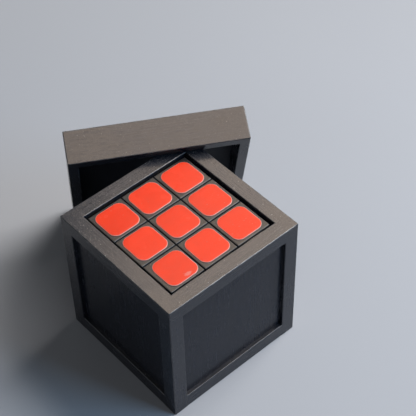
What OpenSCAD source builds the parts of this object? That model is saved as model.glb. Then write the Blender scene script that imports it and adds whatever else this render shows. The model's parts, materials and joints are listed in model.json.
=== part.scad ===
// A black wooden box that holds a three-layer twist puzzle, with its cap lid taken off and leant
// against the back corner of the box. Millimetres, +Z up, the origin at the middle of the underside.
// The box faces front (-Y), back (+Y), left (-X) and right (+X).

/* [Puzzle] */
// Width of one cubie, a third of the puzzle's width
cubie = 19.1; // [17:0.1:22]
// Gap between two neighbouring cubies
cubie_gap = 0.4; // [0.2:0.05:0.5]
// Radius along the edges of a cubie
cubie_round = 0.5; // [0.4:0.1:1.5]
// Thickness of the plate that closes a centre piece
centre_cap_t = 2; // [1.5:0.1:3]
// Turn of the puzzle as it lies in the box, in degrees
puzzle_turn = 0.2; // [0:0.1:1]
// Offset of the puzzle from the middle of the box towards the left
puzzle_left = 0.4; // [0:0.05:0.6]
// Offset of the puzzle from the middle of the box towards the front
puzzle_forward = 0.2; // [0:0.05:0.6]

/* [Stickers] */
// Width of a sticker
sticker_w = 16.3; // [13:0.1:17]
// Radius of a sticker's corners
sticker_round = 4; // [1:0.1:5]
// Thickness of a sticker
sticker_t = 0.4; // [0.1:0.05:0.6]

/* [Puzzle mechanism] */
// How far a foot reaches under the cubie beside it
foot_reach = 2.5; // [2:0.1:3]
// Thickness of the layer of feet under the cubies
foot_t = 5.5; // [5:0.1:6]
// Thickness of the layer of feet under that one
inner_foot_t = 5; // [4.5:0.1:5.5]
// Running gap on each side of a foot
foot_gap = 0.1; // [0.08:0.01:0.15]
// Radius of the six arms of the core
arm_r = 3.9; // [3:0.1:4.2]
// Radius of the ball in the middle of the core
core_ball_r = 5.6; // [5:0.1:6]
// Wall of a centre piece around its spring
pocket_wall = 1; // [0.8:0.1:1.4]
// Thickness of the seat under a spring
spring_seat_t = 3.2; // [2.5:0.1:4]
// Radius of a screw's shank
screw_r = 1.2; // [1:0.05:1.3]
// Thickness of a screw's head
screw_head_t = 1.8; // [1.2:0.1:2.5]
// Depth that a screw bites into the core
screw_bite = 4.5; // [3:0.1:5]
// Length of a compressed spring
spring_l = 6; // [5:0.1:7]
// Radius of the spring's wire
wire_r = 0.3; // [0.25:0.01:0.35]
// Turns of a spring
spring_turns = 4; // [3:1:6]

/* [Box] */
// Gap between the puzzle's stickers and the wall of the box
wall_gap = 0.95; // [0.8:0.05:3]
// Width of the posts and thickness of the rails
frame_t = 7.5; // [6.5:0.1:10]
// Height of the rails around the rim
top_rail_h = 7.5; // [6.5:0.1:12]
// Height of the rails along the bottom
bottom_rail_h = 8; // [7.5:0.1:12]
// Depth of a side panel behind the outer faces of its frame
recess = 2; // [1.5:0.1:3]
// Distance of the puzzle's top stickers below the rim
below_rim = 0.3; // [0:0.05:2]
// Radius along the outer edges of the woodwork
edge_r = 0.4; // [0.2:0.05:0.6]

/* [Box joinery] */
// Thickness of the tongue around a side panel
tongue_t = 2; // [1.5:0.1:2.2]
// Depth of the grooves that hold the panels
groove_d = 2; // [1.5:0.1:2]
// Distance of a groove behind the outer face of its panel
groove_back = 0.5; // [0.4:0.1:0.6]
// Glue gap around each tongue, tenon and peg
glue_gap = 0.1; // [0.05:0.01:0.15]
// Length of the tenons on the bottom rails
tenon_l = 2; // [1.5:0.1:2.1]
// Thickness of the tenons
tenon_t = 3; // [2:0.1:3.2]
// Height of the tenons
tenon_h = 4; // [3:0.1:5]
// Radius of the peg on top of each post
peg_r = 1.5; // [1:0.1:1.8]
// Height of that peg
peg_h = 4; // [3:0.1:5]

/* [Floors] */
// Thickness of the board that closes the underside
base_t = 4; // [3:0.1:4.5]
// Thickness of the raised floor under the puzzle
floor_t = 4; // [3:0.1:6]
// Height of the blocks between those two boards
block_h = 8.5; // [5:0.1:20]
// Width of a block
block_w = 10; // [6:0.5:15]
// Gap around the raised floor, which lifts out
floor_gap = 0.2; // [0.1:0.05:0.5]
// Gap under the puzzle where it rests on the raised floor
rest_gap = 0.1; // [0.05:0.05:0.3]

/* [Lid] */
// Thickness of the lid's walls
lid_wall_t = 5; // [4:0.1:7]
// Gap between the lid's walls and the box
lid_clear = 0.4; // [0.3:0.05:0.8]
// Depth of the hollow in the lid
lid_hollow_d = 10.2; // [8:0.1:12]
// Thickness of the lid's board
lid_board_t = 7; // [5:0.1:8]
// Depth of the groove around the lid's board
lid_groove_d = 1.5; // [1:0.1:2]
// Thickness of the tongue around the lid's board
lid_tongue_t = 3; // [2:0.1:4]

/* [Where the lid leans] */
// Angle by which the lid leans, from standing upright on its wall
lean = 21; // [18:0.5:24]
// Direction of the lid's lower edge, seen from above
lid_yaw = -30.7; // [-40:0.1:-20]
// Sideways offset of the lid along its lower edge
lid_side = -1.6; // [-5:0.1:5]
// Gap between the lid's board and the corner that it leans on
lean_gap = 0.5; // [0.2:0.05:0.6]

/* [Hidden] */

// Facets of a turned part and of a small rounded edge
round_fn = 64;
edge_fn = 24;
// A length that reaches past any cut
past = 1;

// Colours
paint_black = [0.055, 0.05, 0.05];
cubie_black = [0.09, 0.09, 0.095];
steel = [0.62, 0.63, 0.65];
core_grey = [0.2, 0.2, 0.21];

// Puzzle
puzzle_half = 1.5 * cubie;
puzzle_reach = puzzle_half + sticker_t;
// Planes and spheres between the layers of the mechanism: cubies, feet and inner feet
cubie_cut = cubie / 2;
foot_cut = cubie_cut - foot_reach;
inner_cut = foot_cut - foot_reach;
core_r = cubie / 2;
inner_r = core_r + inner_foot_t;
foot_r = inner_r + foot_t;
// Where an arm of the core starts, its edge just inside the ball
arm_lap = 0.1;
arm_foot = sqrt(core_ball_r * core_ball_r - arm_r * arm_r) - arm_lap;
// Spring, screw and pocket of a centre piece, measured out from the middle of the puzzle
pocket_r = inner_cut - foot_gap - pocket_wall;
pocket_floor = core_r + spring_seat_t;
head_r = pocket_r - cubie_gap;
spring_r = head_r;
head_floor = pocket_floor + spring_l;
cap_floor = puzzle_half - centre_cap_t;
spring_sides = 5;
spring_steps = 10;

// Box
inner_half = puzzle_reach + wall_gap;
box_half = inner_half + frame_t;
floor_top = base_t + block_h + floor_t;
puzzle_z = floor_top + rest_gap + puzzle_reach;
box_h = puzzle_z + puzzle_reach + below_rim;
panel_h = box_h - top_rail_h - bottom_rail_h;
panel_t = frame_t - recess;
post_h = box_h - top_rail_h;
post_mid = box_half - frame_t / 2;
tongue_y = recess + groove_back;
base_tongue_d = 1.5;
base_tongue_t = base_t / 2;

// Lid
lid_half = box_half + lid_clear + lid_wall_t;
lid_d = lid_hollow_d + lid_board_t;
lid_inner_half = lid_half - lid_wall_t;
// Where the lid's lower edge stands, so that its board leans on the corner of the rim
corner_reach = box_half * (cos(lid_yaw) - sin(lid_yaw));
edge_sink = edge_r * (1 - sin(lean) - cos(lean));
lid_edge_d = corner_reach + lean_gap - lid_hollow_d * cos(lean)
    + (box_h - edge_sink - lid_hollow_d * sin(lean)) * tan(lean);
lid_axis_d = lid_edge_d + edge_r * (cos(lean) - sin(lean));

// A rectangle from the origin, with radius r on the corners whose entry in eased is true.
// The corners go round from the origin: low left, low right, high right, high left.
module eased_rect(w, h, r, eased = [true, true, true, true]) {
    marks = [[0, 0], [1, 0], [1, 1], [0, 1]];
    difference() {
        square([w, h]);
        for (i = [0:3])
            if (eased[i]) translate([marks[i].x * (w - r), marks[i].y * (h - r)]) square(r);
    }
    for (i = [0:3])
        if (eased[i])
            translate([r + marks[i].x * (w - 2 * r), r + marks[i].y * (h - 2 * r)]) circle(r, $fn = edge_fn);
}

// A block between two opposite corners, rounded along all of its edges
module eased_block(low, high, r) {
    size = high - low;
    translate(low) intersection() {
        linear_extrude(size.z) eased_rect(size.x, size.y, r);
        rotate([90, 0, 90]) linear_extrude(size.x) eased_rect(size.y, size.z, r);
        translate([0, size.y, 0]) rotate([90, 0, 0]) linear_extrude(size.y) eased_rect(size.x, size.z, r);
    }
}

// A plain block between two opposite corners
module block(low, high) {
    translate(low) cube(high - low);
}

// What is cut away to ease a square edge along +Z at the origin, where the solid lies towards +X and +Y
module edge_cut(length) {
    difference() {
        translate([-past, -past, 0]) cube([edge_r + past, edge_r + past, length]);
        translate([edge_r, edge_r, -past]) cylinder(h = length + 2 * past, r = edge_r, $fn = edge_fn);
    }
}

// One side of a square ring of bars, mitred at both ends, along the -Y side of the ring
module mitred_side(half, thick, height, eased) {
    intersection() {
        linear_extrude(height) polygon([[0, 0], [-half, -half], [half, -half]]);
        translate([-half, -half, 0]) linear_extrude(height) eased_rect(2 * half, 2 * half, edge_r);
        translate([-half, -half, 0]) rotate([90, 0, 90])
            linear_extrude(2 * half) eased_rect(thick, height, edge_r, eased);
    }
}

// ---- Box ----

// A post at the front left corner, with grooves for two panels, mortises and a peg
module post() {
    color(paint_black) difference() {
        union() {
            translate([-box_half, -box_half, 0])
                linear_extrude(post_h) eased_rect(frame_t, frame_t, edge_r, [true, false, false, false]);
            translate([-post_mid, -post_mid, post_h - past])
                cylinder(h = peg_h + past, r = peg_r, $fn = round_fn);
        }
        post_cuts();
        mirror([1, -1, 0]) post_cuts();
    }
}

// The groove and the mortise in the face of the post that looks along X, and the eased edge beside them
module post_cuts() {
    translate([-inner_half, -box_half, bottom_rail_h]) mirror([1, 0, 0]) edge_cut(panel_h);
    translate([-inner_half - groove_d, -box_half + tongue_y, bottom_rail_h])
        cube([groove_d + past, tongue_t, panel_h + past]);
    translate([-inner_half - tenon_l, -post_mid - tenon_t / 2, (bottom_rail_h - tenon_h) / 2])
        cube([tenon_l + past, tenon_t, tenon_h]);
}

// The front rail of the rim, with a groove below for the panel and holes for the pegs of two posts
module top_rail() {
    color(paint_black) translate([0, 0, post_h]) difference() {
        mitred_side(box_half, frame_t, top_rail_h, [false, false, true, true]);
        translate([-inner_half, -box_half + tongue_y, -past])
            cube([2 * inner_half, tongue_t, groove_d + past]);
        translate([-inner_half, -box_half, 0]) rotate([90, 0, 90]) edge_cut(2 * inner_half);
        for (side = [-1, 1])
            translate([side * post_mid, -post_mid, -past])
                cylinder(h = peg_h + glue_gap + past, r = peg_r + glue_gap, $fn = round_fn);
    }
}

// The front rail at the bottom, with its tenons, the groove for the panel and the one for the base
module bottom_rail() {
    color(paint_black) difference() {
        union() {
            translate([-inner_half, -box_half, 0]) rotate([90, 0, 90])
                linear_extrude(2 * inner_half)
                    eased_rect(frame_t, bottom_rail_h, edge_r, [true, false, false, true]);
            for (side = [-1, 1]) translate([side * inner_half, -post_mid, bottom_rail_h / 2])
                cube([2 * tenon_l - 2 * glue_gap, tenon_t - 2 * glue_gap, tenon_h - 2 * glue_gap],
                    center = true);
        }
        translate([-inner_half - past, -box_half + tongue_y, bottom_rail_h - groove_d])
            cube([2 * (inner_half + past), tongue_t, groove_d + past]);
        translate([-inner_half - past, -inner_half - base_tongue_d, (base_t - base_tongue_t) / 2])
            cube([2 * (inner_half + past), base_tongue_d + past, base_tongue_t]);
    }
}

// The front panel, flush inside and set back outside, with a tongue along each of its four edges
module side_panel() {
    reach = groove_d - glue_gap;
    tongue = tongue_t - 2 * glue_gap;
    color(paint_black) {
        translate([-inner_half, -box_half + recess, bottom_rail_h]) cube([2 * inner_half, panel_t, panel_h]);
        translate([0, -box_half + tongue_y + glue_gap, 0]) {
            translate([-inner_half - reach, 0, bottom_rail_h])
                cube([2 * (inner_half + reach), tongue, panel_h]);
            translate([-inner_half, 0, bottom_rail_h - reach])
                cube([2 * inner_half, tongue, panel_h + 2 * reach]);
        }
    }
}

// The board that closes the underside, with a tongue on each side
module base_board() {
    reach = inner_half + base_tongue_d - glue_gap;
    tongue = base_tongue_t - 2 * glue_gap;
    color(paint_black) {
        translate([0, 0, base_t / 2]) cube([2 * inner_half, 2 * inner_half, base_t], center = true);
        translate([0, 0, base_t / 2]) cube([2 * reach, 2 * inner_half, tongue], center = true);
        translate([0, 0, base_t / 2]) cube([2 * inner_half, 2 * reach, tongue], center = true);
    }
}

// Four blocks on the base, one in each corner, that hold the raised floor
module floor_blocks() {
    color(paint_black) for (x = [-1, 1], y = [-1, 1])
        translate([x * (inner_half - block_w / 2), y * (inner_half - block_w / 2), base_t + block_h / 2])
            cube([block_w, block_w, block_h], center = true);
}

// The raised floor that the puzzle stands on
module floor_board() {
    half = inner_half - floor_gap;
    color(paint_black) translate([-half, -half, base_t + block_h]) cube([2 * half, 2 * half, floor_t]);
}

// ---- Lid ----

// Puts the lid, drawn lying on its board with the mouth up, on its lower edge against the box
module lean_lid() {
    rotate([0, 0, lid_yaw]) translate([lid_side, lid_axis_d, edge_r]) rotate([lean, 0, 0])
        translate([0, lid_d - edge_r, lid_half - edge_r]) rotate([90, 0, 0]) children();
}

// The space for the tongue around the lid's board
module lid_tongue(half, thick) {
    translate([0, 0, lid_board_t / 2]) cube([2 * half, 2 * half, thick], center = true);
}

// One wall of the lid, mitred at both ends and grooved for the board
module lid_wall(quarter) {
    color(paint_black) lean_lid() rotate([0, 0, 90 * quarter]) difference() {
        mitred_side(lid_half, lid_wall_t, lid_d, [true, false, true, true]);
        lid_tongue(lid_inner_half + lid_groove_d, lid_tongue_t);
    }
}

// The board of the lid, flush with the outer ends of the walls
module lid_board() {
    color(paint_black) lean_lid() {
        translate([0, 0, lid_board_t / 2])
            cube([2 * lid_inner_half, 2 * lid_inner_half, lid_board_t], center = true);
        lid_tongue(lid_inner_half + lid_groove_d - glue_gap, lid_tongue_t - 2 * glue_gap);
    }
}

// ---- Puzzle ----

// Puts what is drawn about the middle of the puzzle where the puzzle lies in the box
module stow() {
    translate([-puzzle_left, -puzzle_forward, puzzle_z]) rotate([0, 0, puzzle_turn]) children();
}

// Low and high corner of the space between the cuts at distance cut, for a cubie in direction dir
function space_low(dir, cut, far, gap) = [for (d = dir) d > 0 ? cut + gap : d < 0 ? -far : gap - cut];
function space_high(dir, cut, far, gap) = [for (d = dir) d > 0 ? far : d < 0 ? -cut - gap : cut - gap];

module space(dir, cut, gap) {
    far = puzzle_half + past;
    block(space_low(dir, cut, far, gap), space_high(dir, cut, far, gap));
}

// The visible block of a cubie
module cubie_block(dir) {
    gap = cubie_gap / 2;
    eased_block(space_low(dir, cubie_cut, puzzle_half, gap), space_high(dir, cubie_cut, puzzle_half, gap),
        cubie_round);
}

// The part of a layer of feet that belongs to a cubie
module foot(dir, cut, radius) {
    intersection() {
        space(dir, cut, foot_gap);
        sphere(radius - foot_gap, $fn = round_fn);
    }
}

// All that a cubie leaves free inside a sphere, so that other feet can pass
module foot_room(dir, cut, radius) {
    difference() {
        sphere(radius + foot_gap, $fn = round_fn);
        space(dir, cut, foot_gap);
    }
}

// A corner piece: its block and a foot that runs under the edge pieces
module corner_piece(dir) {
    color(cubie_black) stow() difference() {
        union() {
            cubie_block(dir);
            foot(dir, foot_cut, foot_r);
        }
        foot_room(dir, foot_cut, foot_r);
        sphere(inner_r + foot_gap, $fn = round_fn);
    }
}

// The solid of an edge or centre piece: its block, and a foot in each layer of the mechanism
module footed_cubie(dir) {
    difference() {
        union() {
            cubie_block(dir);
            foot(dir, foot_cut, foot_r);
            foot(dir, inner_cut, inner_r);
        }
        foot_room(dir, foot_cut, foot_r);
        foot_room(dir, inner_cut, inner_r);
        sphere(core_r + foot_gap, $fn = round_fn);
    }
}

module edge_piece(dir) {
    color(cubie_black) stow() footed_cubie(dir);
}

// Turns what is drawn along +Z towards a face of the puzzle
module face_out(dir) {
    turn = dir.z > 0 ? [0, 0, 0]
        : dir.z < 0 ? [180, 0, 0]
        : dir.y < 0 ? [90, 0, 0]
        : dir.y > 0 ? [-90, 0, 0]
        : dir.x > 0 ? [0, 90, 0]
        : [0, -90, 0];
    rotate(turn) children();
}

FACES = [[0, 0, 1], [0, 0, -1], [0, -1, 0], [0, 1, 0], [-1, 0, 0], [1, 0, 0]];

// A centre piece, open at the top for its screw and spring
module centre_piece(dir) {
    color(cubie_black) stow() face_out(dir) difference() {
        footed_cubie([0, 0, 1]);
        translate([0, 0, cap_floor]) linear_extrude(centre_cap_t + past) square(2 * cubie, center = true);
        translate([0, 0, pocket_floor]) cylinder(h = puzzle_half, r = pocket_r, $fn = round_fn);
        cylinder(h = puzzle_half, r = screw_r + cubie_gap, $fn = round_fn);
    }
}

// The plates that close the centre pieces, each with a boss in the pocket
module centre_caps() {
    boss_h = (cap_floor - head_floor - screw_head_t) / 2;
    color(cubie_black) stow() for (dir = FACES) face_out(dir) {
        intersection() {
            cubie_block([0, 0, 1]);
            translate([0, 0, cap_floor]) linear_extrude(centre_cap_t + past) square(2 * cubie, center = true);
        }
        translate([0, 0, cap_floor - boss_h])
            cylinder(h = boss_h + past, r = pocket_r - foot_gap, $fn = round_fn);
    }
}

// One arm of the core along +Z, from just inside the ball to its domed end
module core_arm() {
    intersection() {
        translate([0, 0, arm_foot]) cylinder(h = core_r, r = arm_r, $fn = round_fn);
        sphere(core_r - foot_gap, $fn = round_fn);
    }
}

// The core: a ball with six arms, each drilled for a screw
module puzzle_core() {
    color(core_grey) stow() difference() {
        union() {
            sphere(core_ball_r, $fn = round_fn);
            for (dir = FACES) face_out(dir) core_arm();
        }
        for (dir = FACES) face_out(dir)
            translate([0, 0, core_r - screw_bite])
                cylinder(h = screw_bite + past, r = screw_r, $fn = round_fn);
    }
}

// Six screws that hold the centre pieces on the core
module centre_screws() {
    slot_w = 0.8;
    slot_d = screw_head_t / 2;
    color(steel) stow() for (dir = FACES) face_out(dir) difference() {
        union() {
            translate([0, 0, core_r - screw_bite])
                cylinder(h = head_floor - core_r + screw_bite + past, r = screw_r, $fn = round_fn);
            translate([0, 0, head_floor]) cylinder(h = screw_head_t, r = head_r, $fn = round_fn);
        }
        translate([-head_r, -slot_w / 2, head_floor + screw_head_t - slot_d])
            cube([2 * head_r, slot_w, slot_d + past]);
    }
}

// One coil spring along +Z, from its seat to the head of the screw
module coil_spring() {
    steps = spring_turns * spring_steps;
    rise = spring_l - 2 * wire_r;
    mid_r = spring_r - wire_r;
    points = [
        for (i = [0:steps], j = [0:spring_sides - 1])
            let (
                turn = 360 * i / spring_steps,
                side = 360 * j / spring_sides,
                r = mid_r + wire_r * cos(side)
            )
            [r * cos(turn), r * sin(turn), pocket_floor + wire_r + rise * i / steps + wire_r * sin(side)]
    ];
    walls = [
        for (i = [0:steps - 1], j = [0:spring_sides - 1])
            let (next = (j + 1) % spring_sides, low = i * spring_sides, high = low + spring_sides)
            [low + j, high + j, high + next, low + next]
    ];
    first = [for (j = [0:spring_sides - 1]) j];
    last = [for (j = [spring_sides - 1:-1:0]) steps * spring_sides + j];
    polyhedron(points = points, faces = concat([first], walls, [last]));
}

module centre_springs() {
    color(steel) stow() for (dir = FACES) face_out(dir) coil_spring();
}

// Nine stickers on one face of the puzzle
module stickers(dir, tint) {
    color(tint) stow() face_out(dir) for (i = [-1:1], j = [-1:1])
        translate([i * cubie - sticker_w / 2, j * cubie - sticker_w / 2, puzzle_half])
            linear_extrude(sticker_t) eased_rect(sticker_w, sticker_w, sticker_round);
}

// ---- Nodes ----

post();  // post_front_left
mirror([1, 0, 0]) post();  // post_front_right
mirror([0, 1, 0]) post();  // post_back_left
rotate([0, 0, 180]) post();  // post_back_right
top_rail();  // top_rail_front
rotate([0, 0, 90]) top_rail();  // top_rail_right
rotate([0, 0, 180]) top_rail();  // top_rail_back
rotate([0, 0, -90]) top_rail();  // top_rail_left
bottom_rail();  // bottom_rail_front
rotate([0, 0, 90]) bottom_rail();  // bottom_rail_right
rotate([0, 0, 180]) bottom_rail();  // bottom_rail_back
rotate([0, 0, -90]) bottom_rail();  // bottom_rail_left
side_panel();  // side_panel_front
rotate([0, 0, 90]) side_panel();  // side_panel_right
rotate([0, 0, 180]) side_panel();  // side_panel_back
rotate([0, 0, -90]) side_panel();  // side_panel_left
base_board();
floor_blocks();
floor_board();
lid_board();
lid_wall(0);  // lid_wall_bottom
lid_wall(1);  // lid_wall_right
lid_wall(2);  // lid_wall_top
lid_wall(3);  // lid_wall_left
puzzle_core();
centre_screws();
centre_springs();
centre_caps();
centre_piece([0, 0, 1]);  // centre_top
centre_piece([0, 0, -1]);  // centre_bottom
centre_piece([0, -1, 0]);  // centre_front
centre_piece([0, 1, 0]);  // centre_back
centre_piece([-1, 0, 0]);  // centre_left
centre_piece([1, 0, 0]);  // centre_right
edge_piece([0, -1, 1]);  // edge_top_front
edge_piece([0, 1, 1]);  // edge_top_back
edge_piece([-1, 0, 1]);  // edge_top_left
edge_piece([1, 0, 1]);  // edge_top_right
edge_piece([0, -1, -1]);  // edge_bottom_front
edge_piece([0, 1, -1]);  // edge_bottom_back
edge_piece([-1, 0, -1]);  // edge_bottom_left
edge_piece([1, 0, -1]);  // edge_bottom_right
edge_piece([-1, -1, 0]);  // edge_front_left
edge_piece([1, -1, 0]);  // edge_front_right
edge_piece([-1, 1, 0]);  // edge_back_left
edge_piece([1, 1, 0]);  // edge_back_right
corner_piece([-1, -1, 1]);  // corner_top_front_left
corner_piece([1, -1, 1]);  // corner_top_front_right
corner_piece([-1, 1, 1]);  // corner_top_back_left
corner_piece([1, 1, 1]);  // corner_top_back_right
corner_piece([-1, -1, -1]);  // corner_bottom_front_left
corner_piece([1, -1, -1]);  // corner_bottom_front_right
corner_piece([-1, 1, -1]);  // corner_bottom_back_left
corner_piece([1, 1, -1]);  // corner_bottom_back_right
stickers([0, 0, 1], [0.96, 0.34, 0.24]);  // stickers_top
stickers([0, 0, -1], [0.72, 0.08, 0.08]);  // stickers_bottom
stickers([0, -1, 0], [0.92, 0.92, 0.9]);  // stickers_front
stickers([0, 1, 0], [0.95, 0.82, 0.12]);  // stickers_back
stickers([-1, 0, 0], [0.1, 0.5, 0.24]);  // stickers_left
stickers([1, 0, 0], [0.08, 0.24, 0.62]);  // stickers_right
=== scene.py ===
"""Finishes a black wooden box and the twist puzzle in it: paint over grain, moulded plastic,
rounded sticker tiles, screws and springs, on a pale studio floor. Lengths are in metres, in the
part's own frame."""
import json
import math
import random

import bpy
from mathutils import Euler, Matrix, Vector


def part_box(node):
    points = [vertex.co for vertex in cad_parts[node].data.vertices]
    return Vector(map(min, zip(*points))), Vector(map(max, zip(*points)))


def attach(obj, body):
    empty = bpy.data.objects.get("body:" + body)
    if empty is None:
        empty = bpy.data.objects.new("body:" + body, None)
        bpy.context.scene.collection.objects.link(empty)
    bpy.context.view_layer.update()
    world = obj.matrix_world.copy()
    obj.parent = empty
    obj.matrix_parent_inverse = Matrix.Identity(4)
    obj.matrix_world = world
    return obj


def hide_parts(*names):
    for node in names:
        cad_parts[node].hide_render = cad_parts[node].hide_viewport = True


bl_info = {
    "name": "Puzzle Box Finish",
    "version": (1, 0, 0),
    "blender": (4, 5, 0),
    "location": "3D View > Sidebar > Puzzle Box",
    "description": "Paints a wooden puzzle box and dresses the twist puzzle that it holds",
    "category": "Object",
}

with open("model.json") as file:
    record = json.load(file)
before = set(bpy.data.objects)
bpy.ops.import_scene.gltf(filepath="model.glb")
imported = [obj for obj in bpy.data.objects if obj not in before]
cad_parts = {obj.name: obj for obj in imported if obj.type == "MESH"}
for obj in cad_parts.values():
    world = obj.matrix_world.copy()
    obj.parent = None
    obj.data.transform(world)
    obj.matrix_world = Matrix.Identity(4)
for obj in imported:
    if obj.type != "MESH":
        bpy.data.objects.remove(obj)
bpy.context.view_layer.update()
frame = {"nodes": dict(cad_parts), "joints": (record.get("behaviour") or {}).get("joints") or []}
MM = 0.001
UP = Vector((0, 0, 1))

SIDES = ("front", "right", "back", "left")
POSTS = ("front_left", "front_right", "back_left", "back_right")
FACES = ("top", "bottom", "front", "back", "left", "right")
FACE_OUT = {
    "top": (0, 0, 1),
    "bottom": (0, 0, -1),
    "front": (0, -1, 0),
    "back": (0, 1, 0),
    "left": (-1, 0, 0),
    "right": (1, 0, 0),
}


# ---- Settings ----


class PaintSettings(bpy.types.PropertyGroup):
    """Black paint of the box and the lid"""

    colour: bpy.props.FloatVectorProperty(
        name="Paint", description="Colour of the paint", default=(0.0105, 0.013, 0.0205),
        subtype="COLOR", min=0, max=1)
    # Pale colour of rubbed edges; on the rim it is also a painted highlight along the edges
    worn_and_highlight: bpy.props.FloatVectorProperty(
        name="Worn edge", description="Colour of the paint where an edge is rubbed",
        default=(0.25, 0.245, 0.24), subtype="COLOR", min=0, max=1)
    dust: bpy.props.FloatVectorProperty(
        name="Dust", description="Colour of the specks of dust", default=(0.48, 0.465, 0.435),
        subtype="COLOR", min=0, max=1)
    roughness: bpy.props.FloatProperty(
        name="Roughness", description="Roughness of the paint", default=0.21, min=0, max=1,
        subtype="FACTOR")
    gloss: bpy.props.FloatProperty(
        name="Gloss", description="Specular level of the paint", default=0.4, min=0, max=1,
        subtype="FACTOR")
    panel_gloss: bpy.props.FloatProperty(
        name="Panel gloss", description="Specular level of the side panels", default=0.18, min=0,
        max=1, subtype="FACTOR")
    grain_depth: bpy.props.FloatProperty(
        name="Grain depth", description="Depth of the grain under the paint", default=0.05 * MM,
        unit="LENGTH", subtype="DISTANCE", precision=5)
    # Scales every rubbed edge, and with it the painted highlight along the rim
    rub_and_highlight: bpy.props.FloatProperty(
        name="Rubbed edges", description="How much the paint is rubbed along the front of the rim",
        default=1.0, min=0, max=1, subtype="FACTOR")


class PuzzleSettings(bpy.types.PropertyGroup):
    """Cubies and stickers of the puzzle"""

    pitch: bpy.props.FloatProperty(
        name="Cubie", description="Distance from one cubie to the next", default=19.1 * MM,
        unit="LENGTH", subtype="DISTANCE", precision=4)
    turn: bpy.props.FloatProperty(
        name="Turn", description="Turn of the puzzle in the box", default=math.radians(0.2),
        unit="ROTATION", subtype="ANGLE")
    tile_width: bpy.props.FloatProperty(
        name="Tile", description="Width of a sticker tile", default=16.3 * MM,
        unit="LENGTH", subtype="DISTANCE", precision=4)
    tile_round: bpy.props.FloatProperty(
        name="Tile corner", description="Radius of a tile's corners", default=4.0 * MM,
        unit="LENGTH", subtype="DISTANCE", precision=4)
    # Pale colour of a tile's cut edge and eased border, which also stands in as a painted highlight
    # along each tile's rim
    cut_edge: bpy.props.FloatVectorProperty(
        name="Cut edge", description="Colour that the cut edge of a tile turns to",
        default=(0.86, 0.6, 0.55), subtype="COLOR", min=0, max=1)
    plastic: bpy.props.FloatVectorProperty(
        name="Cubies", description="Colour of the cubies", default=(0.012, 0.012, 0.013),
        subtype="COLOR", min=0, max=1)
    core: bpy.props.FloatVectorProperty(
        name="Core", description="Colour of the core", default=(0.035, 0.035, 0.038),
        subtype="COLOR", min=0, max=1)
    steel: bpy.props.FloatVectorProperty(
        name="Steel", description="Colour of the screws and springs", default=(0.56, 0.56, 0.58),
        subtype="COLOR", min=0, max=1)
    top: bpy.props.FloatVectorProperty(
        name="Top", description="Colour of the top tiles", default=(0.95, 0.042, 0.007),
        subtype="COLOR", min=0, max=1)
    bottom: bpy.props.FloatVectorProperty(
        name="Bottom", description="Colour of the bottom tiles", default=(0.38, 0.008, 0.01),
        subtype="COLOR", min=0, max=1)
    front: bpy.props.FloatVectorProperty(
        name="Front", description="Colour of the front tiles", default=(0.8, 0.8, 0.77),
        subtype="COLOR", min=0, max=1)
    back: bpy.props.FloatVectorProperty(
        name="Back", description="Colour of the back tiles", default=(0.84, 0.6, 0.03),
        subtype="COLOR", min=0, max=1)
    left: bpy.props.FloatVectorProperty(
        name="Left", description="Colour of the left tiles", default=(0.01, 0.17, 0.045),
        subtype="COLOR", min=0, max=1)
    right: bpy.props.FloatVectorProperty(
        name="Right", description="Colour of the right tiles", default=(0.008, 0.04, 0.24),
        subtype="COLOR", min=0, max=1)


class StageSettings(bpy.types.PropertyGroup):
    """Floor, lamps and camera"""

    floor: bpy.props.FloatVectorProperty(
        name="Floor", description="Colour of the floor", default=(0.5, 0.515, 0.545),
        subtype="COLOR", min=0, max=1)
    floor_width: bpy.props.FloatProperty(
        name="Floor width", description="Width of the floor", default=6.0, unit="LENGTH",
        subtype="DISTANCE")
    camera_place: bpy.props.FloatVectorProperty(
        name="Camera place", description="Where the camera stands", unit="LENGTH",
        subtype="TRANSLATION", default=(-227.1 * MM, -285.3 * MM, 477.5 * MM))
    camera_turn: bpy.props.FloatVectorProperty(
        name="Camera turn", description="How the camera is turned", unit="ROTATION",
        subtype="EULER", default=tuple(math.radians(a) for a in (42.66, 0.97, -41.64)))
    camera_lens: bpy.props.FloatProperty(
        name="Lens", description="Focal length on a 36 mm sensor, in millimetres", default=106.1,
        min=10, max=300)


# ---- Helpers ----


def settings():
    """The three groups of settings: paint, puzzle and stage."""
    scene = bpy.context.scene
    return scene.box_paint, scene.box_puzzle, scene.box_stage


def select_none():
    """Leaves nothing selected, in object mode."""
    if bpy.context.object and bpy.context.object.mode != "OBJECT":
        bpy.ops.object.mode_set(mode="OBJECT")
    bpy.ops.object.select_all(action="DESELECT")


def select_only(*pieces):
    """Selects these objects and no other, and makes the first of them active."""
    select_none()
    for piece in pieces:
        piece.select_set(True)
    bpy.context.view_layer.objects.active = pieces[0]


def copy_of(piece, name, matrix):
    """A copy of a piece with its own mesh, moved by matrix, its object at the origin."""
    twin = piece.copy()
    twin.data = piece.data.copy()
    twin.data.transform(matrix)
    twin.name = name
    bpy.context.scene.collection.objects.link(twin)
    return twin


def join(pieces, name):
    """Joins pieces that sit at the origin into one with this name."""
    select_only(*pieces)
    bpy.ops.object.join()
    piece = bpy.context.object
    piece.name = name
    return piece


def face_turn(out):
    """The rotation that turns +Z towards a face of the puzzle."""
    return UP.rotation_difference(Vector(out)).to_matrix().to_4x4()


def middle(node):
    """The middle of a CAD node's box."""
    low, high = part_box(node)
    return (low + high) / 2


# ---- Node groups ----

# Places of a Mix node's sockets when it mixes colours
MIX_RGBA_INPUTS = (0, 6, 7)
MIX_RGBA_RESULT = 2

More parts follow.
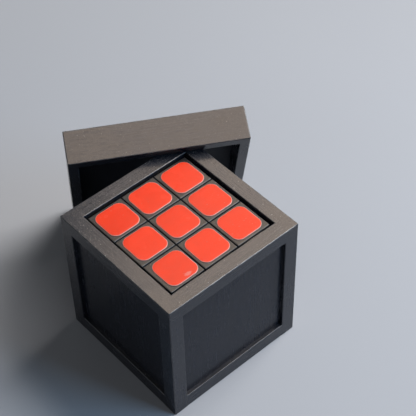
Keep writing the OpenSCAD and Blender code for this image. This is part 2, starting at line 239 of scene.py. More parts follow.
# Patterns to a metre, along the grain and across it
STREAKS = (55.0, 1500.0, 1500.0)
PORES = (260.0, 5200.0, 5200.0)
GRAIN_WANDER = 90.0
WEAR_PATCHES = 210.0
SPECKS = 560.0
SPECK_STRETCH = (1.0, 1.3, 1.0)
DUST_DRIFTS = 70.0
DUST_FILM = 2300.0
SMEARS = 60.0
SCRATCHES = (90.0, 2600.0, 2600.0)
SCRATCH_TURN = (0.4, 0.7, 0.9)


def add(tree, kind, **values):
    """Adds a shader node and sets or links the inputs of these names."""
    node = tree.nodes.new(kind)
    for name, value in values.items():
        put(tree, node, name.replace("_", " ").title(), value)
    return node


def put(tree, node, socket, value):
    """Links value to a socket of node if it is an output, and sets it otherwise."""
    target = node.inputs[socket]
    if isinstance(value, bpy.types.NodeSocket):
        tree.links.new(value, target)
    else:
        target.default_value = value


def math_node(tree, operation, *values, clamp=False):
    """A Math node on these values or outputs."""
    node = tree.nodes.new("ShaderNodeMath")
    node.operation = operation
    node.use_clamp = clamp
    for index, value in enumerate(values):
        put(tree, node, index, value)
    return node.outputs[0]


def vector_node(tree, operation, *values):
    """A Vector Math node. It gives a number for a dot product or a length, and else a vector."""
    node = tree.nodes.new("ShaderNodeVectorMath")
    node.operation = operation
    for index, value in enumerate(values):
        put(tree, node, index, value)
    return node.outputs["Value" if operation in ("DOT_PRODUCT", "LENGTH") else "Vector"]


def largest(tree, *values):
    """The largest of these values or outputs."""
    most = values[0]
    for value in values[1:]:
        most = math_node(tree, "MAXIMUM", most, value)
    return most


def product(tree, *values):
    """These values or outputs multiplied together, held between 0 and 1."""
    result = values[0]
    for value in values[1:-1]:
        result = math_node(tree, "MULTIPLY", result, value)
    return math_node(tree, "MULTIPLY", result, values[-1], clamp=True)


def remap(tree, value, low, high, to_low=0.0, to_high=1.0):
    """Maps value from low..high to to_low..to_high, without going past them."""
    node = tree.nodes.new("ShaderNodeMapRange")
    for index, number in enumerate((value, low, high, to_low, to_high)):
        put(tree, node, index, number)
    return node.outputs["Result"]


def mix_colour(tree, factor, first, second):
    """The first colour where factor is 0, the second where it is 1."""
    node = tree.nodes.new("ShaderNodeMix")
    node.data_type = "RGBA"
    for socket, value in zip(MIX_RGBA_INPUTS, (factor, first, second)):
        put(tree, node, socket, value)
    return node.outputs[MIX_RGBA_RESULT]


def rgba(colour, gain=1.0):
    """A colour times gain, with an alpha of 1."""
    return (*[channel * gain for channel in colour], 1.0)


def noise(tree, vector, scale, detail=2.0, roughness=0.5):
    """A noise pattern with about scale blobs to a metre."""
    node = add(tree, "ShaderNodeTexNoise", vector=vector, scale=scale, detail=detail)
    node.inputs["Roughness"].default_value = roughness
    return node.outputs["Fac"]


def new_group(name, inputs, outputs):
    """A shader node group with sockets (name, type, default) and its input and output nodes."""
    group = bpy.data.node_groups.new(name, "ShaderNodeTree")
    for label, kind, default in inputs:
        socket = group.interface.new_socket(label, in_out="INPUT", socket_type=kind)
        if default is not None:
            socket.default_value = default
    for label, kind in outputs:
        group.interface.new_socket(label, in_out="OUTPUT", socket_type=kind)
    return group, group.nodes.new("NodeGroupInput").outputs, group.nodes.new("NodeGroupOutput")


def grain_group():
    """Grain along X: long soft streaks, and short fine pores that sink below them."""
    group, given, result = new_group(
        "Wood Grain",
        [("Vector", "NodeSocketVector", None)],
        [("Streaks", "NodeSocketFloat"), ("Height", "NodeSocketFloat")],
    )
    wander = math_node(group, "MULTIPLY", noise(group, given["Vector"], GRAIN_WANDER, 1.0), 1.6)
    bent = vector_node(group, "MULTIPLY", given["Vector"], STREAKS)
    streaks = noise(group, vector_node(group, "ADD", bent, wander), 1.0, 3.0, 0.6)
    fine = vector_node(group, "MULTIPLY", given["Vector"], PORES)
    pores = remap(group, noise(group, fine, 1.0, 1.0), 0.6, 0.72)
    sunk = math_node(group, "MULTIPLY", pores, -0.9)
    height = math_node(group, "MULTIPLY_ADD", streaks, 0.8, sunk)
    group.links.new(streaks, result.inputs["Streaks"])
    group.links.new(height, result.inputs["Height"])
    return group


def wear_and_highlight_group():
    """A mask of the rounded edges, broken up so that it comes and goes: rubbed paint, which on the
    rim also stands in as a painted highlight along the edges. Facing is the normal in the piece's
    own axes, so it lies between two of them on an edge."""
    group, given, result = new_group(
        "Edge Wear",
        [
            ("Vector", "NodeSocketVector", None),
            ("Facing", "NodeSocketVector", None),
            ("Amount", "NodeSocketFloat", 1.0),
        ],
        [("Mask", "NodeSocketFloat")],
    )
    parts = group.nodes.new("ShaderNodeSeparateXYZ")
    group.links.new(vector_node(group, "ABSOLUTE", given["Facing"]), parts.inputs[0])
    edge = remap(group, largest(group, *parts.outputs), 0.998, 0.93)
    ragged = noise(group, given["Vector"], WEAR_PATCHES, 3.0, 0.65)
    patches = remap(group, ragged, 0.38, 0.62, 0.2, 1.0)
    group.links.new(product(group, edge, patches, given["Amount"]), result.inputs["Mask"])
    return group


def dust_group():
    """Small specks that lie in drifts over a thin film, most of it on what faces up."""
    group, given, result = new_group(
        "Dust",
        [("Vector", "NodeSocketVector", None), ("Amount", "NodeSocketFloat", 1.0)],
        [("Mask", "NodeSocketFloat")],
    )
    shaken = vector_node(group, "MULTIPLY", given["Vector"], SPECK_STRETCH)
    cells = add(group, "ShaderNodeTexVoronoi", vector=shaken, scale=SPECKS)
    chosen = group.nodes.new("ShaderNodeSeparateColor")
    group.links.new(cells.outputs["Color"], chosen.inputs["Color"])
    drift = remap(group, noise(group, given["Vector"], DUST_DRIFTS), 0.4, 0.56, 0.15, 1.0)
    rare = math_node(group, "MULTIPLY", remap(group, chosen.outputs["Red"], 0.2, 0.4), drift)
    size = math_node(group, "MULTIPLY_ADD", chosen.outputs["Green"], 0.09, 0.045)
    speck = math_node(group, "LESS_THAN", cells.outputs["Distance"], size)
    facing = group.nodes.new("ShaderNodeTexCoord").outputs["Normal"]
    upward = vector_node(group, "DOT_PRODUCT", facing, tuple(UP))
    rise = remap(group, upward, -0.2, 0.9, 0.12, 1.0)
    film = remap(group, noise(group, given["Vector"], DUST_FILM), 0.44, 0.72, 0.0, 0.11)
    lying = largest(group, math_node(group, "MULTIPLY", speck, rare), film)
    group.links.new(product(group, lying, rise, given["Amount"]), result.inputs["Mask"])
    return group


def handling_group():
    """Broad smears that change the gloss, with fine scratches across them."""
    group, given, result = new_group(
        "Handling",
        [("Vector", "NodeSocketVector", None)],
        [("Smears", "NodeSocketFloat"), ("Scratches", "NodeSocketFloat")],
    )
    smears = remap(group, noise(group, given["Vector"], SMEARS, 3.0, 0.55), 0.3, 0.7)
    turned = add(
        group, "ShaderNodeMapping", vector=given["Vector"], rotation=SCRATCH_TURN, scale=SCRATCHES)
    scratches = remap(group, noise(group, turned.outputs["Vector"], 1.0), 0.66, 0.74)
    group.links.new(smears, result.inputs["Smears"])
    group.links.new(scratches, result.inputs["Scratches"])
    return group


BUILDERS = {
    "grain": grain_group,
    "wear": wear_and_highlight_group,
    "dust": dust_group,
    "handling": handling_group,
}
EFFECTS = {}


def effect(tree, name, **values):
    """Places a shared effect in a material, with its own values. Each is built once."""
    if name not in EFFECTS:
        EFFECTS[name] = BUILDERS[name]()
    node = tree.nodes.new("ShaderNodeGroup")
    node.node_tree = EFFECTS[name]
    for label, value in values.items():
        put(tree, node, label.title(), value)
    return node.outputs


# ---- Materials ----


def new_material(name, roughness, level=0.5, metallic=0.0):
    """A material with its tree, its Principled shader and its Object coordinates. level is the
    shader's specular level."""
    material = bpy.data.materials.new(name)
    material.use_nodes = True
    tree = material.node_tree
    shader = tree.nodes["Principled BSDF"]
    shader.inputs["Roughness"].default_value = roughness
    shader.inputs["Specular IOR Level"].default_value = level
    shader.inputs["Metallic"].default_value = metallic
    place = tree.nodes.new("ShaderNodeTexCoord").outputs["Object"]
    return material, tree, shader, place


def set_bump(tree, shader, height, distance, strength=1.0):
    """Bends the shader's normal with a height."""
    bump = add(tree, "ShaderNodeBump", height=height, distance=distance, strength=strength)
    put(tree, shader, "Normal", bump.outputs["Normal"])


# How far from a mitre the rubbed edge and its painted highlight set in, and where they are whole
SEAM = (0.7 * MM, 1.4 * MM)


def seam_mask(tree, place, seam):
    """0 along a mitre that is filled and painted over, 1 away from it. seam holds the middle of the
    frame and the directions of its two kinds of rail."""
    centre, first, second = seam
    away = vector_node(tree, "SUBTRACT", place, centre)
    reach = [math_node(tree, "ABSOLUTE", vector_node(tree, "DOT_PRODUCT", away, side))
             for side in (first, second)]
    apart = math_node(tree, "ABSOLUTE", math_node(tree, "SUBTRACT", *reach))
    return remap(tree, apart, *SEAM)


def painted_wood(name, axes, offset, rub_and_highlight, specks, gloss, seam=None, hollow=None):
    """Satin black paint over grain. axes turns the grain's X to its direction on the piece, and
    offset moves the pattern, so that no two pieces show the same. The number after offset says how
    much the edges are rubbed pale, and on the rim this pale edge is also a painted highlight;
    specks says how dusty the piece is and gloss how much it shines. No pale edge shows along a
    seam, and the paint is dull where the surface looks along hollow."""
    paint, _puzzle, _stage = settings()
    material, tree, shader, place = new_material(name, paint.roughness, gloss)
    turn = axes.inverted().to_euler("XYZ")
    mapping = add(tree, "ShaderNodeMapping", vector=place, location=offset, rotation=turn)
    along = mapping.outputs["Vector"]
    normal = tree.nodes.new("ShaderNodeTexCoord").outputs["Normal"]
    mapping = add(tree, "ShaderNodeMapping", vector=normal)
    mapping.vector_type = "VECTOR"
    mapping.inputs["Rotation"].default_value = turn
    facing = mapping.outputs["Vector"]
    grain = effect(tree, "grain", vector=along)
    wear = effect(tree, "wear", vector=along, facing=facing, amount=rub_and_highlight * paint.rub_and_highlight)["Mask"]
    if seam:
        wear = math_node(tree, "MULTIPLY", wear, seam_mask(tree, place, seam))
    dust = effect(tree, "dust", vector=along, amount=specks)["Mask"]
    handling = effect(tree, "handling", vector=along)
    tone = remap(tree, grain["Streaks"], 0.3, 0.7)
    cloud = math_node(tree, "MULTIPLY", tone, 0.65)
    cloud = math_node(tree, "MULTIPLY_ADD", handling["Smears"], 0.25, cloud)
    colour = mix_colour(tree, cloud, rgba(paint.colour, 0.8), rgba(paint.colour, 1.5))
    # Pale rubbed edges; on the rim they are also a painted highlight
    colour = mix_colour(tree, wear, colour, rgba(paint.worn_and_highlight))
    colour = mix_colour(tree, dust, colour, rgba(paint.dust))
    put(tree, shader, "Base Color", colour)
    rough = math_node(tree, "MULTIPLY_ADD", tone, 0.08, paint.roughness - 0.06)
    rough = math_node(tree, "MULTIPLY_ADD", handling["Smears"], 0.1, rough)
    rough = math_node(tree, "MULTIPLY_ADD", dust, 0.4, rough, clamp=True)
    if hollow:
        inward = vector_node(tree, "DOT_PRODUCT", normal, hollow)
        rough = largest(tree, rough, remap(tree, inward, 0.5, 0.9, 0.0, 0.7))
    put(tree, shader, "Roughness", rough)
    set_bump(tree, shader, grain["Height"], paint.grain_depth, 0.4)
    return material


# Patterns to a metre
PLASTIC_SKIN = 5200.0
VINYL_WAVES = 110.0
VINYL_SKIN = 900.0
PALE_PATCH_RAGGED = 2900.0
PAPER_CLOUDS = 3.0


def moulded_plastic(name, colour, roughness, level):
    """Moulded plastic, a little rubbed, with a fine skin and some dust."""
    paint, _puzzle, _stage = settings()
    material, tree, shader, place = new_material(name, roughness, level)
    handling = effect(tree, "handling", vector=place)
    dust = effect(tree, "dust", vector=place, amount=0.8)["Mask"]
    normal = tree.nodes.new("ShaderNodeTexCoord").outputs["Normal"]
    wear = effect(tree, "wear", vector=place, facing=normal, amount=0.2)["Mask"]
    tinted = mix_colour(tree, handling["Smears"], rgba(colour, 0.85), rgba(colour, 1.2))
    tinted = mix_colour(tree, wear, tinted, rgba(paint.worn_and_highlight))
    put(tree, shader, "Base Color", mix_colour(tree, dust, tinted, rgba(paint.dust)))
    rough = math_node(tree, "MULTIPLY_ADD", handling["Smears"], 0.1, roughness - 0.05)
    rough = math_node(tree, "MULTIPLY_ADD", handling["Scratches"], 0.12, rough, clamp=True)
    put(tree, shader, "Roughness", rough)
    set_bump(tree, shader, noise(tree, place, PLASTIC_SKIN, 1.0), 0.02 * MM, 0.3)
    return material


def pale_patch_mask(tree, place, centre, reach=2.2 * MM, squash=(0.7, 1.4, 1.0)):
    """A small ragged patch around a point, longer along X than along Y, and 0 away from it."""
    away = vector_node(tree, "MULTIPLY", vector_node(tree, "SUBTRACT", place, centre), squash)
    near = remap(tree, vector_node(tree, "DOT_PRODUCT", away, away), 0.0, reach ** 2, 1.0, 0.0)
    ragged = noise(tree, place, PALE_PATCH_RAGGED, 3.0, 0.85)
    return remap(tree, math_node(tree, "MULTIPLY", near, ragged), 0.26, 0.44, 0.0, 0.4)


def sticker_vinyl(name, colour, pale_patch=None):
    """Smooth coloured vinyl, a little wavy, with a pale cut edge that also stands in as a painted
    highlight along each tile's rim, smears and the odd scratch. The last argument is a point where
    a small pale patch lies."""
    paint, puzzle, _stage = settings()
    material, tree, shader, place = new_material(name, 0.25, 0.15)
    handling = effect(tree, "handling", vector=place)
    dust = effect(tree, "dust", vector=place, amount=0.35)["Mask"]
    edge = tree.nodes.new("ShaderNodeAttribute")
    edge.attribute_name = "cut_edge"
    pale = edge.outputs["Fac"]
    if pale_patch:
        # A small ragged pale patch on one tile, in the colour of the cut edge
        pale = largest(tree, pale, pale_patch_mask(tree, place, tuple(pale_patch)))
    pale = math_node(tree, "MULTIPLY", pale, 0.7)
    tinted = mix_colour(tree, handling["Smears"], rgba(colour, 0.92), rgba(colour, 1.04))
    # The pale cut edge, which along each tile's rim also stands in as a painted highlight
    tinted = mix_colour(tree, pale, tinted, rgba(puzzle.cut_edge))
    put(tree, shader, "Base Color", mix_colour(tree, dust, tinted, rgba(paint.dust)))
    rough = math_node(tree, "MULTIPLY_ADD", handling["Smears"], 0.12, 0.19)
    rough = math_node(tree, "MULTIPLY_ADD", handling["Scratches"], 0.1, rough, clamp=True)
    put(tree, shader, "Roughness", rough)
    waves = noise(tree, place, VINYL_WAVES, 1.0)
    height = math_node(tree, "MULTIPLY_ADD", waves, 30.0, noise(tree, place, VINYL_SKIN))
    set_bump(tree, shader, height, 0.02 * MM, 0.25)
    return material


def bright_steel(name, colour):
    """Plain drawn steel with fine lines and a little tarnish."""
    material, tree, shader, place = new_material(name, 0.3, metallic=1.0)
    handling = effect(tree, "handling", vector=place)
    put(tree, shader, "Base Color",
        mix_colour(tree, handling["Smears"], rgba(colour), rgba(colour, 0.72)))
    rough = math_node(tree, "MULTIPLY_ADD", handling["Smears"], 0.15, 0.25)
    put(tree, shader, "Roughness", rough)
    set_bump(tree, shader, handling["Scratches"], 0.01 * MM)
    return material


def dress(piece, material):
    """Gives a piece this material alone."""
    piece.data.materials.clear()
    piece.data.materials.append(material)


# ---- Operators ----


class BOX_OT_paint_woodwork(bpy.types.Operator):
    """Paints the posts, rails, panels and floors of the box, each along its own grain"""

    bl_idname = "puzzle_box.paint_woodwork"
    bl_label = "Paint the Box"

    # How far the pattern moves from one piece to the next
    STEP = (0.31, 0.017, 0.023)
    # How much the edges are rubbed pale, and how dusty the piece is, from 0 to 1. On the rim the
    # pale edges are also a painted highlight, strongest along the front rail
    FRAME_WEAR = (0.12, 0.6)
    RIM_RUB_AND_HIGHLIGHT = (0.4, 1.0)
    FRONT_RIM_RUB_AND_HIGHLIGHT = (1.0, 1.0)

    def execute(self, context):
        paint, _puzzle, _stage = settings()
        nodes = frame["nodes"]
        upright = Matrix(((0, 0, 1), (0, 1, 0), (-1, 0, 0))).transposed()
        across = Matrix.Identity(3)
        deep = Matrix.Rotation(math.radians(90), 3, "Z")
        grain = {f"post_{corner}": upright for corner in POSTS}
        for side in SIDES:
            lie = across if side in ("front", "back") else deep
            grain[f"top_rail_{side}"] = lie
            grain[f"bottom_rail_{side}"] = lie
            grain[f"side_panel_{side}"] = upright
        grain.update({"base_board": across, "floor_board": across, "floor_blocks": deep})
        mitre = ((0, 0, 0), (1, 0, 0), (0, 1, 0))
        for index, (name, axes) in enumerate(grain.items()):
            offset = tuple(step * index for step in self.STEP)
            rub_and_highlight, specks, gloss, seam = *self.FRAME_WEAR, paint.gloss, None
            if name.startswith("top_rail"):
                rub_and_highlight, specks = self.FRONT_RIM_RUB_AND_HIGHLIGHT if name.endswith("front") else self.RIM_RUB_AND_HIGHLIGHT
                seam = mitre
            elif name.startswith("side_panel"):
                gloss = paint.panel_gloss
            finish = painted_wood(f"paint_{name}", axes, offset, rub_and_highlight, specks, gloss, seam)
            dress(nodes[name], finish)
        return {"FINISHED"}


class BOX_OT_paint_lid(bpy.types.Operator):
    """Paints the four walls and the board of the lid, each along its own grain"""

    bl_idname = "puzzle_box.paint_lid"
    bl_label = "Paint the Lid"

    # How far the pattern moves from one piece to the next
    STEP = (0.43, 0.029, 0.013)
    # How much the edges are rubbed, and how dusty the lid is
    WEAR = (0.35, 0.4)

    def execute(self, context):
        paint, _puzzle, _stage = settings()
        nodes = frame["nodes"]
        tilt = next(joint for joint in frame["joints"] if joint["name"] == "lid_tilt")
        along = -Vector(tilt["axis"]).normalized()
        lean = math.radians(tilt["range_deg"][1])
        out = UP.cross(along)
        up = math.cos(lean) * UP - math.sin(lean) * out
        lying = Matrix((along, up.cross(along), up)).transposed()
        standing = Matrix((up, along, up.cross(along))).transposed()
        grain = {
            "lid_wall_top": lying,
            "lid_wall_bottom": lying,
            "lid_wall_left": standing,
            "lid_wall_right": standing,
            "lid_board": lying,
        }
        mitre = (tuple(middle("lid_board")), tuple(along), tuple(up))
        for index, (name, axes) in enumerate(grain.items()):
            offset = tuple(step * index for step in self.STEP)
            seam = mitre if name.startswith("lid_wall") else None
            hollow = tuple(along.cross(up)) if name == "lid_board" else None
            finish = painted_wood(
                f"paint_{name}", axes, offset, *self.WEAR, paint.gloss, seam, hollow)
            dress(nodes[name], finish)
        return {"FINISHED"}


class BOX_OT_mould_cubies(bpy.types.Operator):
    """Gives the cubies, the centre plates and the core their moulded plastic"""

    bl_idname = "puzzle_box.mould_cubies"
    bl_label = "Mould the Cubies"

    def execute(self, context):
        _paint, puzzle, _stage = settings()
        black = moulded_plastic("cubie_black", puzzle.plastic, roughness=0.3, level=0.27)
        grey = moulded_plastic("core_grey", puzzle.core, roughness=0.5, level=0.4)
        for name, node in frame["nodes"].items():
            if name.startswith(("centre_", "edge_", "corner_")):
                dress(node, black)
        dress(frame["nodes"]["puzzle_core"], grey)
        return {"FINISHED"}


class BOX_OT_press_tiles(bpy.types.Operator):
    """Makes one sticker tile with round corners and a soft crown, and lays nine on each face"""

    bl_idname = "puzzle_box.press_tiles"
    bl_label = "Press the Sticker Tiles"

    # The front left tile of the top lies off the middle of its cubie, and has a small pale patch
    # off its own
    SLIP = (0.45 * MM, -0.4 * MM, 0)
    PALE_PATCH = (1.9 * MM, -6.2 * MM, 0)
    # How far a hand lays the tiles off their places, and how many degrees off square
    STRAY = 0.1 * MM
    TWIST = 0.4
    SEED = 11
    # The wall of a tile as a share of its thickness, and then its steps inwards, in millimetres,
    # and up, as shares of its thickness
    WALL = 0.62
    CROWN = ((0.05, 0.14), (0.07, 0.09), (0.1, 0.06), (0.2, 0.04), (0.9, 0.03), (1.8, 0.02))
    # Heights as shares of the thickness: the edge is pale below the first and shows no more from
    # the second on, and FADE is how much height it fades over
    PALE = (0.8, 0.93)
    FADE = 0.08

    def execute(self, context):
        _paint, puzzle, _stage = settings()
        low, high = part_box("stickers_top")
        tile = self.tile(puzzle, high.z - low.z)
        hand = random.Random(self.SEED)
        for face in FACES:
            node = f"stickers_{face}"
            turn = Matrix.Rotation(puzzle.turn, 4, "Z") @ face_turn(FACE_OUT[face])
            place = Matrix.Translation(middle(node)) @ turn
            spots = {
                (i, j): self.spot(puzzle, hand, face, i, j)
                for i in (-1, 0, 1) for j in (-1, 0, 1)
            }
            tiles = [copy_of(tile, "tile", place @ spot) for spot in spots.values()]
            piece = join(tiles, f"sticker_tiles_{face}")
            pale_patch = place @ spots[-1, -1] @ Vector(self.PALE_PATCH) if face == "top" else None
            dress(piece, sticker_vinyl(f"vinyl_{face}", getattr(puzzle, face), pale_patch))
            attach(piece, "puzzle")
            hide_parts(node)
        bpy.data.objects.remove(tile)
        return {"FINISHED"}

    def spot(self, puzzle, hand, face, i, j):
        """Where a tile lies on its face: near the middle of its cubie, as a hand lays it."""
        spot = Vector((i * puzzle.pitch, j * puzzle.pitch, 0))
        spot += Vector([hand.uniform(-self.STRAY, self.STRAY) for _axis in "xy"] + [0])
        if (face, i, j) == ("top", -1, -1):
            spot += Vector(self.SLIP)
        twist = math.radians(hand.uniform(-self.TWIST, self.TWIST))
        return Matrix.Translation(spot) @ Matrix.Rotation(twist, 4, "Z")

    def tile(self, puzzle, thick):
        """One tile about the origin: a rounded square, extruded, eased and crowned."""
        select_none()
        bpy.ops.mesh.primitive_plane_add(size=puzzle.tile_width, location=(0, 0, -thick / 2))
        tile = bpy.context.object
        bpy.ops.object.transform_apply(location=True, rotation=True, scale=True)
        bpy.ops.object.mode_set(mode="EDIT")
        bpy.ops.mesh.select_all(action="SELECT")
        bpy.ops.mesh.bevel(offset=puzzle.tile_round, segments=10, affect="VERTICES")
        wall = {"value": (0, 0, self.WALL * thick)}
        bpy.ops.mesh.extrude_region_move(TRANSFORM_OT_translate=wall)
        for inset, lift in self.CROWN:
            bpy.ops.mesh.inset(thickness=inset * MM, depth=0)
            bpy.ops.transform.translate(value=(0, 0, lift * thick))
        bpy.ops.mesh.select_all(action="SELECT")
        bpy.ops.mesh.normals_make_consistent(inside=False)
        bpy.ops.object.mode_set(mode="OBJECT")
        bpy.ops.object.shade_smooth_by_angle(angle=math.radians(50))
        self.mark_edge(tile, thick)
        return tile

    def mark_edge(self, tile, thick):
        """Marks the wall and the eased border of a tile with 1, and fades to 0 inside them."""
        # The mark feeds the pale cut edge, which also stands in as a painted highlight along the
        # rim
        mark = tile.data.attributes.new("cut_edge", "FLOAT", "POINT")
        whole, gone = self.PALE
        for vertex, value in zip(tile.data.vertices, mark.data):
            rise = vertex.co.z / thick + 0.5
            value.value = 1.0 if rise < whole else max(0.0, (gone - rise) / self.FADE)


class BOX_OT_wind_springs(bpy.types.Operator):
    """Winds one coil spring and puts six of them in the centre pieces"""

    bl_idname = "puzzle_box.wind_springs"
    bl_label = "Wind the Springs"

    # Radius of the wire and of the coil, where the spring starts, and its length and turns
    WIRE = 0.3 * MM
    COIL = 2.75 * MM
    FOOT = 12.75 * MM
    LENGTH = 6.0 * MM
    TURNS = 4

    def execute(self, context):
        _paint, puzzle, _stage = settings()
        steel = bright_steel("spring_steel", puzzle.steel)
        dress_group(self.spring(), "centre_springs", "coil_springs", steel)
        return {"FINISHED"}

    def spring(self):
        """One spring along +Z, measured out from the middle of the puzzle."""
        select_none()
        bpy.ops.mesh.primitive_circle_add(
            vertices=12, radius=self.WIRE, location=(self.COIL, 0, self.FOOT + self.WIRE),
            rotation=(math.radians(90), 0, 0))
        spring = bpy.context.object
        bpy.ops.object.transform_apply(location=True, rotation=True, scale=True)
        coil = spring.modifiers.new("coil", "SCREW")
        coil.angle = 2 * math.pi
        coil.screw_offset = (self.LENGTH - 2 * self.WIRE) / self.TURNS
        coil.iterations = self.TURNS
        coil.steps = 32
        coil.render_steps = 32
        coil.use_merge_vertices = False
        bpy.ops.object.modifier_apply(modifier=coil.name)
        bpy.ops.object.mode_set(mode="EDIT")
        bpy.ops.mesh.select_all(action="SELECT")
        bpy.ops.mesh.remove_doubles(threshold=0.001 * MM)
        bpy.ops.mesh.select_all(action="DESELECT")
        bpy.ops.mesh.select_non_manifold()
        bpy.ops.mesh.fill_holes(sides=0)
        bpy.ops.mesh.select_all(action="SELECT")
        bpy.ops.mesh.normals_make_consistent(inside=False)
        bpy.ops.object.mode_set(mode="OBJECT")
        bpy.ops.object.shade_smooth_by_angle(angle=math.radians(50))
        return spring


class BOX_OT_turn_screws(bpy.types.Operator):
    """Turns one slotted pan-head screw and puts six of them in the centre pieces"""

    bl_idname = "puzzle_box.turn_screws"
    bl_label = "Turn the Screws"

    # Radius and height of the outline from the tip to the top of the head, in millimetres
    OUTLINE = (
        (0.7, 5.05), (1.2, 5.75), (1.2, 18.6), (1.35, 18.75), (2.95, 18.75), (3.05, 18.85),
        (3.05, 19.6), (2.96, 19.95), (2.7, 20.25), (2.2, 20.46), (1.4, 20.55))
    # Middle and size of what is cut out of the head for the slot
    SLOT_PLACE = (0, 0, 20.65 * MM)
    SLOT_SIZE = (7 * MM, 0.8 * MM, 2 * MM)

    def execute(self, context):
        _paint, puzzle, _stage = settings()
        steel = bright_steel("screw_steel", puzzle.steel)
        dress_group(self.screw(), "centre_screws", "slotted_screws", steel)
        return {"FINISHED"}

    def screw(self):
        """One screw along +Z, measured out from the middle of the puzzle: its outline is turned,
        and its slot is cut."""
        start, foot = self.OUTLINE[0]
        select_none()
        bpy.ops.mesh.primitive_circle_add(
            vertices=48, radius=start * MM, fill_type="NGON", location=(0, 0, foot * MM))
        screw = bpy.context.object
        bpy.ops.object.transform_apply(location=True, rotation=True, scale=True)
        bpy.ops.object.mode_set(mode="EDIT")
        bpy.ops.mesh.select_all(action="SELECT")
        for (last, low), (radius, high) in zip(self.OUTLINE, self.OUTLINE[1:]):
            bpy.ops.mesh.extrude_region_move(
                TRANSFORM_OT_translate={"value": (0, 0, (high - low) * MM)})
            grow = radius / last
            bpy.ops.transform.resize(value=(grow, grow, 1), center_override=(0, 0, high * MM))
        bpy.ops.mesh.select_all(action="SELECT")
        bpy.ops.mesh.normals_make_consistent(inside=False)
        bpy.ops.object.mode_set(mode="OBJECT")
        bpy.ops.mesh.primitive_cube_add(size=1, location=self.SLOT_PLACE, scale=self.SLOT_SIZE)
        cutter = bpy.context.object
        select_only(screw)
        slot = screw.modifiers.new("slot", "BOOLEAN")
        slot.operation = "DIFFERENCE"
        slot.object = cutter
        bpy.ops.object.modifier_apply(modifier=slot.name)
        bpy.data.objects.remove(cutter)
        bpy.ops.object.shade_smooth_by_angle(angle=math.radians(35))
        return screw


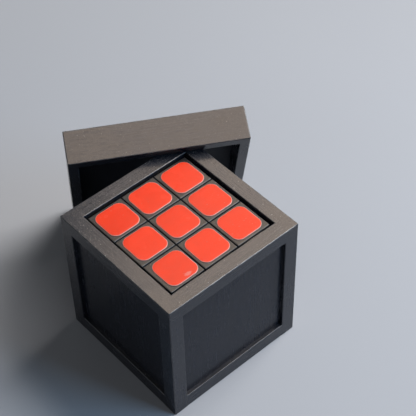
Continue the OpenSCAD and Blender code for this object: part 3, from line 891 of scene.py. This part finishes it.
class BOX_OT_set_stage(bpy.types.Operator):
    """Lays the pale floor, hangs the soft lamps and sets the camera"""

    bl_idname = "puzzle_box.set_stage"
    bl_label = "Set the Stage"

    # Colour and strength of the air that the camera sees, and the strength that lights the box
    AIR = (0.93, 0.96, 1.0)
    HAZE = 0.5
    AIR_LIGHT = 0.11
    # Where the floor starts to take on the tone of the air, and where it has it
    FAR = (0.2, 0.8)
    # What the lamps look at, and for each its azimuth and height in degrees, its distance, its
    # size, its power in watts and its colour
    LOOK = (0, 0, 40 * MM)
    LAMPS = {
        "sheen_panel": (8.0, 60.0, 0.6, (0.68, 0.8), 8.6, (1.0, 0.79, 0.61)),
        "key_panel": (-14.0, 50.0, 1.2, (0.7, 0.7), 15.5, (1.0, 0.97, 0.95)),
        "fill_panel": (-60.0, 28.0, 1.2, (0.5, 0.5), 5.0, (0.42, 0.68, 1.0)),
    }

    def execute(self, context):
        _paint, _puzzle, stage = settings()
        self.floor(stage)
        self.world()
        for name, values in self.LAMPS.items():
            lamp = self.lamp(name, *values)
            # The sheen panel only shows as a reflection
            lamp.visible_diffuse = name != "sheen_panel"
        self.camera(stage)
        context.scene.view_settings.view_transform = "Standard"
        return {"FINISHED"}

    def floor(self, stage):
        """A wide round floor of plain paper that stays as pale as the air far from the lamps."""
        select_none()
        bpy.ops.mesh.primitive_circle_add(
            vertices=96, radius=stage.floor_width / 2, fill_type="NGON", location=(0, 0, 0))
        floor = bpy.context.object
        floor.name = "studio_floor"
        bpy.ops.object.mode_set(mode="EDIT")
        bpy.ops.mesh.select_all(action="SELECT")
        bpy.ops.mesh.inset(thickness=0.4, depth=0)
        bpy.ops.object.mode_set(mode="OBJECT")
        material, tree, shader, place = new_material("studio_paper", 0.85, level=0.0)
        cloud = remap(tree, noise(tree, place, PAPER_CLOUDS), 0.3, 0.7)
        put(tree, shader, "Base Color",
            mix_colour(tree, cloud, rgba(stage.floor, 0.985), rgba(stage.floor, 1.015)))
        air = tree.nodes.new("ShaderNodeEmission")
        air.inputs["Color"].default_value = rgba(self.AIR)
        air.inputs["Strength"].default_value = self.HAZE
        fade = tree.nodes.new("ShaderNodeMixShader")
        far = remap(tree, vector_node(tree, "LENGTH", place), *self.FAR)
        put(tree, fade, "Fac", math_node(tree, "MULTIPLY", far, self.seen(tree)))
        tree.links.new(shader.outputs["BSDF"], fade.inputs[1])
        tree.links.new(air.outputs["Emission"], fade.inputs[2])
        tree.links.new(fade.outputs["Shader"], tree.nodes["Material Output"].inputs["Surface"])
        dress(floor, material)

    def world(self):
        """Pale air all round, which lights the box only softly."""
        world = bpy.context.scene.world or bpy.data.worlds.new("studio")
        bpy.context.scene.world = world
        world.use_nodes = True
        tree = world.node_tree
        air = tree.nodes["Background"]
        air.inputs["Color"].default_value = rgba(self.AIR)
        strength = remap(tree, self.seen(tree), 0.0, 1.0, self.AIR_LIGHT, self.HAZE)
        put(tree, air, "Strength", strength)

    def seen(self, tree):
        """1 for what the camera sees, also in a mirror or through glass, and 0 for soft light."""
        path = tree.nodes.new("ShaderNodeLightPath").outputs
        rays = ("Is Camera Ray", "Is Glossy Ray", "Is Transmission Ray")
        return largest(tree, *(path[ray] for ray in rays))

    def lamp(self, name, azimuth, height, distance, size, power, colour):
        """A soft panel that looks at the box. azimuth turns from +X towards +Y."""
        around, rise = math.radians(azimuth), math.radians(height)
        flat = math.cos(rise)
        out = Vector((flat * math.cos(around), flat * math.sin(around), math.sin(rise)))
        light = bpy.data.lights.new(name, "AREA")
        light.shape = "RECTANGLE"
        light.size, light.size_y = size
        light.energy = power
        light.color = colour
        lamp = bpy.data.objects.new(name, light)
        bpy.context.scene.collection.objects.link(lamp)
        lamp.location = Vector(self.LOOK) + out * distance
        lamp.rotation_euler = out.to_track_quat("Z", "Y").to_euler()
        return lamp

    def camera(self, stage):
        """The camera that takes the main view."""
        view = bpy.data.cameras.new("camera")
        view.sensor_width = 36.0
        view.lens = stage.camera_lens
        view.clip_start = 0.01
        camera = bpy.data.objects.new("camera", view)
        bpy.context.scene.collection.objects.link(camera)
        camera.location = stage.camera_place
        camera.rotation_euler = Euler(stage.camera_turn, "XYZ")
        bpy.context.scene.camera = camera


def dress_group(piece, node, name, material):
    """Puts six copies of a piece, drawn along +Z, in the centre pieces, for the CAD node."""
    _paint, puzzle, _stage = settings()
    heart = Matrix.Translation(middle("puzzle_core")) @ Matrix.Rotation(puzzle.turn, 4, "Z")
    copies = [copy_of(piece, name, heart @ face_turn(FACE_OUT[face])) for face in FACES]
    bpy.data.objects.remove(piece)
    group = join(copies, name)
    dress(group, material)
    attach(group, "puzzle")
    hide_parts(node)


class BOX_PT_finish(bpy.types.Panel):
    """Sizes and colours of the finish, and a button for each step"""

    bl_idname = "BOX_PT_finish"
    bl_label = "Puzzle Box"
    bl_space_type = "VIEW_3D"
    bl_region_type = "UI"
    bl_category = "Puzzle Box"

    def draw(self, context):
        layout = self.layout
        for group in settings():
            column = layout.column(align=True)
            for name in group.__annotations__:
                column.prop(group, name)
        for operator in OPERATORS:
            layout.operator(operator.bl_idname)


GROUPS = (PaintSettings, PuzzleSettings, StageSettings)
OPERATORS = (
    BOX_OT_paint_woodwork,
    BOX_OT_paint_lid,
    BOX_OT_mould_cubies,
    BOX_OT_press_tiles,
    BOX_OT_wind_springs,
    BOX_OT_turn_screws,
    BOX_OT_set_stage,
)
POINTERS = {"box_paint": PaintSettings, "box_puzzle": PuzzleSettings, "box_stage": StageSettings}


def register():
    """Registers the settings, the operators and the panel."""
    for cls in (*GROUPS, *OPERATORS, BOX_PT_finish):
        bpy.utils.register_class(cls)
    for name, group in POINTERS.items():
        setattr(bpy.types.Scene, name, bpy.props.PointerProperty(type=group))


def unregister():
    """Takes away what register added."""
    for name in POINTERS:
        delattr(bpy.types.Scene, name)
    for cls in reversed((*GROUPS, *OPERATORS, BOX_PT_finish)):
        bpy.utils.unregister_class(cls)


def main():
    """Takes every step in order."""
    register()
    for operator in OPERATORS:
        family, step = operator.bl_idname.split(".")
        getattr(getattr(bpy.ops, family), step)()


if __name__ == "__main__":
    main()
